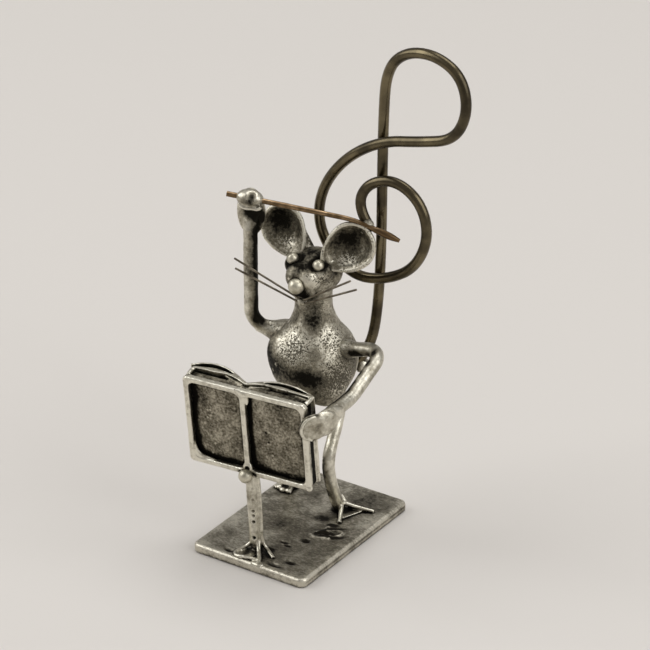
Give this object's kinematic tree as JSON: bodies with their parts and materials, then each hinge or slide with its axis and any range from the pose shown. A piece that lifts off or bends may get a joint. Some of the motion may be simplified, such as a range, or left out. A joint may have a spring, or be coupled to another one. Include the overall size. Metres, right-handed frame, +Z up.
{
  "type": "mouse figurine",
  "caption": "Pewter mouse that conducts with a copper baton at a music stand, its wire tail bent into a treble clef, on a flat rectangular plate.",
  "frame": {"origin": "centre of the plate's underside, where the figurine rests", "axes": "+Z up; -Y is the way the mouse faces, towards the music stand; +X is to the mouse's left"},
  "size_m": [0.0477, 0.0389, 0.1041],
  "materials": {
    "pewter_plate": "brushed and stained",
    "pewter_cast": "polished high spots over dark antique patina, pitted casting",
    "pewter_bright": "polished",
    "pewter_stand": "antique patina, pitted casting with polished edges",
    "brass_wire": "dark bronze patina, satin",
    "copper_rod": "satin copper",
    "whisker_wire": "dark drawn wire",
    "solder": "satin, as it set"
  },
  "bodies": {
    "root": {"base_plate": "pewter_plate", "mouse_body": "pewter_cast", "mouse_head": "pewter_cast", "nose": "pewter_bright", "left_eye": "pewter_bright", "right_eye": "pewter_bright", "left_ear": "pewter_cast", "right_ear": "pewter_cast", "upper_whisker": "whisker_wire", "lower_whisker": "whisker_wire", "right_arm": "pewter_cast", "left_arm": "pewter_cast", "left_leg": "pewter_cast", "right_leg": "pewter_cast", "baton": "copper_rod", "tail_clef": "brass_wire", "desk_frame": "pewter_stand", "open_book": "pewter_stand", "stand_post": "pewter_stand", "stand_knob": "pewter_bright", "solder_beads": "solder"}
  },
  "joints": []
}
